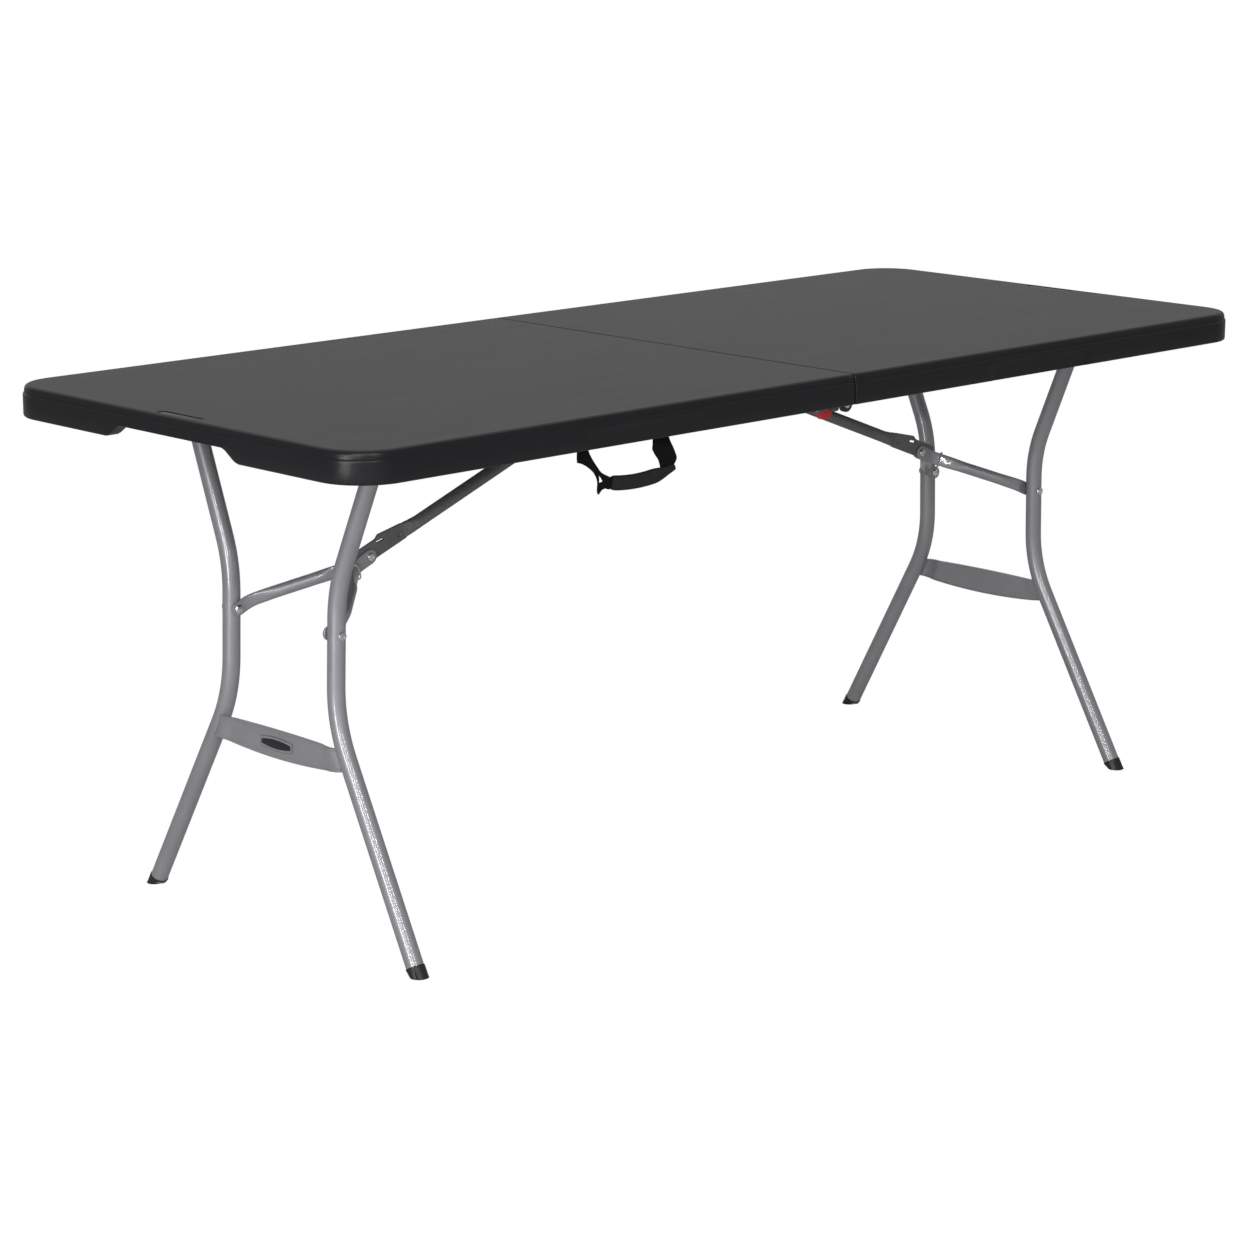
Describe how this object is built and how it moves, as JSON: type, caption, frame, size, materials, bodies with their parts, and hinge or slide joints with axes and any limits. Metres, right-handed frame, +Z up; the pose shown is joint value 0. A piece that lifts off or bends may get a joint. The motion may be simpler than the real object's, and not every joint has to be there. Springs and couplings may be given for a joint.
{
  "type": "folding table",
  "caption": "Rectangular moulded-plastic folding table with splayed tubular legs, folding V braces, a centre hinge and lock, and a webbing carry handle.",
  "frame": {"origin": "on the floor under the middle of the opened table", "axes": "+X along the length, towards the right half; +Y from the front edge, which has the handle, to the rear; +Z up"},
  "size_m": [1.829, 0.76, 0.737],
  "materials": {
    "top_plastic": "fine haircell-textured moulded plastic, dark grey",
    "silver_paint": "silver-grey powder coat",
    "black_steel": "black powder coat",
    "zinc_steel": "bright zinc plate",
    "foot_rubber": "moulded black cap",
    "lever_plastic": "red moulded plastic",
    "webbing": "black woven webbing",
    "grip_fabric": "dark grey padded sleeve",
    "badge_plastic": "black plate with a silver edge, blank"
  },
  "bodies": {
    "left_half": {"left_tabletop": "top_plastic", "left_front_rail": "black_steel", "left_rear_rail": "black_steel", "left_brace_bracket": "silver_paint", "left_brace_pin": "zinc_steel", "front_hinge_left_leaf": "black_steel", "rear_hinge_left_leaf": "black_steel", "front_hinge_pin": "zinc_steel", "rear_hinge_pin": "zinc_steel", "lock_bracket": "silver_paint", "lock_pin": "zinc_steel", "handle_left_tab": "webbing", "handle_right_tab": "webbing", "handle_left_anchor": "black_steel", "handle_right_anchor": "black_steel"},
    "left_leg_frame": {"left_leg_hinge_tube": "silver_paint", "left_front_leg": "silver_paint", "left_rear_leg": "silver_paint", "left_leg_cross_plate": "silver_paint", "left_front_foot": "foot_rubber", "left_rear_foot": "foot_rubber", "left_front_brace_rivet": "zinc_steel", "left_rear_brace_rivet": "zinc_steel", "left_front_leg_retainer": "zinc_steel", "left_rear_leg_retainer": "zinc_steel", "cross_plate_badge": "badge_plastic"},
    "left_v_brace": {"left_front_brace_arm": "silver_paint", "left_rear_brace_arm": "silver_paint", "left_knee_bolt": "zinc_steel", "left_knee_nut": "zinc_steel"},
    "left_lock_ring": {"left_lock_ring": "zinc_steel"},
    "left_diagonal_brace": {"left_diagonal_brace": "silver_paint"},
    "right_half": {"right_tabletop": "top_plastic", "right_front_rail": "black_steel", "right_rear_rail": "black_steel", "right_brace_bracket": "silver_paint", "right_brace_pin": "zinc_steel", "front_hinge_right_leaf": "black_steel", "rear_hinge_right_leaf": "black_steel"},
    "right_leg_frame": {"right_leg_hinge_tube": "silver_paint", "right_front_leg": "silver_paint", "right_rear_leg": "silver_paint", "right_leg_cross_plate": "silver_paint", "right_front_foot": "foot_rubber", "right_rear_foot": "foot_rubber", "right_front_brace_rivet": "zinc_steel", "right_rear_brace_rivet": "zinc_steel", "right_front_leg_retainer": "zinc_steel", "right_rear_leg_retainer": "zinc_steel"},
    "right_v_brace": {"right_front_brace_arm": "silver_paint", "right_rear_brace_arm": "silver_paint", "right_knee_bolt": "zinc_steel", "right_knee_nut": "zinc_steel"},
    "right_lock_ring": {"right_lock_ring": "zinc_steel"},
    "right_diagonal_brace": {"right_diagonal_brace": "silver_paint"},
    "lock_lever": {"lock_lever": "lever_plastic", "lock_tongue": "silver_paint"},
    "carry_handle": {"handle_left_strap": "webbing", "handle_right_strap": "webbing", "handle_grip": "grip_fabric"}
  },
  "joints": [
    {"name": "half_fold", "type": "hinge", "parent": "left_half", "child": "right_half", "pos_m": [0, 0, 0.693], "axis": [0, 1, 0], "range_deg": [0, 90]},
    {"name": "left_leg_fold", "type": "hinge", "parent": "left_half", "child": "left_leg_frame", "pos_m": [-0.72326, 0, 0.707], "axis": [0, -1, 0], "range_deg": [0, 91.64]},
    {"name": "left_v_brace_swing", "type": "hinge", "parent": "left_leg_frame", "child": "left_v_brace", "pos_m": [-0.73106, 0, 0.4345], "axis": [0, -1, 0], "range_deg": [0, 65.23]},
    {"name": "left_diagonal_swing", "type": "hinge", "parent": "left_half", "child": "left_diagonal_brace", "pos_m": [-0.028, 0, 0.711], "axis": [0, -1, 0], "range_deg": [-20.32, 0]},
    {"name": "left_lock_ring_slide", "type": "slide", "parent": "left_v_brace", "child": "left_lock_ring", "axis": [0.7078, 0.6345, 0.3106], "range_m": [0, 0.006]},
    {"name": "right_leg_fold", "type": "hinge", "parent": "right_half", "child": "right_leg_frame", "pos_m": [0.72326, 0, 0.707], "axis": [0, 1, 0], "range_deg": [0, 91.64]},
    {"name": "right_v_brace_swing", "type": "hinge", "parent": "right_leg_frame", "child": "right_v_brace", "pos_m": [0.73106, 0, 0.4345], "axis": [0, 1, 0], "range_deg": [0, 65.23]},
    {"name": "right_diagonal_swing", "type": "hinge", "parent": "right_half", "child": "right_diagonal_brace", "pos_m": [0.028, 0, 0.711], "axis": [0, 1, 0], "range_deg": [-20.32, 0]},
    {"name": "right_lock_ring_slide", "type": "slide", "parent": "right_v_brace", "child": "right_lock_ring", "axis": [-0.7078, 0.6345, 0.3106], "range_m": [0, 0.006]},
    {"name": "lock_lever_swing", "type": "hinge", "parent": "left_half", "child": "lock_lever", "pos_m": [-0.052, -0.346, 0.69], "axis": [0, 1, 0], "range_deg": [0, 20], "stiffness_Nm_per_rad": 0.05, "springref_deg": -11.46},
    {"name": "carry_handle_swing", "type": "hinge", "parent": "left_half", "child": "carry_handle", "pos_m": [-0.4235, -0.36, 0.6925], "axis": [-1, 0, 0], "range_deg": [-60, 80]}
  ],
  "couplings": [
    {"joint": "left_v_brace_swing", "follows": "left_leg_fold", "ratio": 0.71159},
    {"joint": "left_diagonal_swing", "follows": "left_leg_fold", "ratio": -0.2215},
    {"joint": "right_v_brace_swing", "follows": "right_leg_fold", "ratio": 0.71159},
    {"joint": "right_diagonal_swing", "follows": "right_leg_fold", "ratio": -0.2215}
  ]
}
